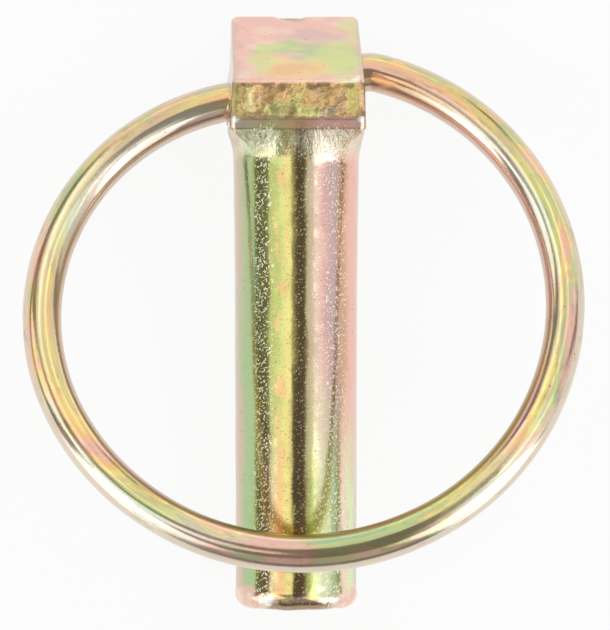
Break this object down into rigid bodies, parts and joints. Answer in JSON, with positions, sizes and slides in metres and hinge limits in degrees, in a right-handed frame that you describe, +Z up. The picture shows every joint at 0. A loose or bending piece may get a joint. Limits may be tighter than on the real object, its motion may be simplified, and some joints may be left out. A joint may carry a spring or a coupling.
{
  "type": "lynch pin",
  "caption": "Lynch pin: a forged pin with a square sloping head, and a spring-wire ring that swings through a hole in the head.",
  "frame": {"origin": "on the pin's axis, where the round shank leaves the head", "axes": "-Y along the shank towards its tip, +Z to the front, where the ring crosses the shank, +X to the right; it lies on its back with +Z up"},
  "size_m": [0.0504, 0.053, 0.0204],
  "materials": {
    "pin_plating": "yellow zinc plating with pink and green tints, rough from forging",
    "ring_plating": "yellow zinc plating with pink and green tints over drawn wire"
  },
  "bodies": {
    "pin_body": {"pin": "pin_plating"},
    "ring_body": {"ring": "ring_plating"}
  },
  "joints": [
    {"name": "ring_swing", "type": "hinge", "parent": "pin_body", "child": "ring_body", "pos_m": [0, 0.00552, -0.0024], "axis": [-0.9781, -0.2079, 0], "range_deg": [-6.5, 333]}
  ]
}
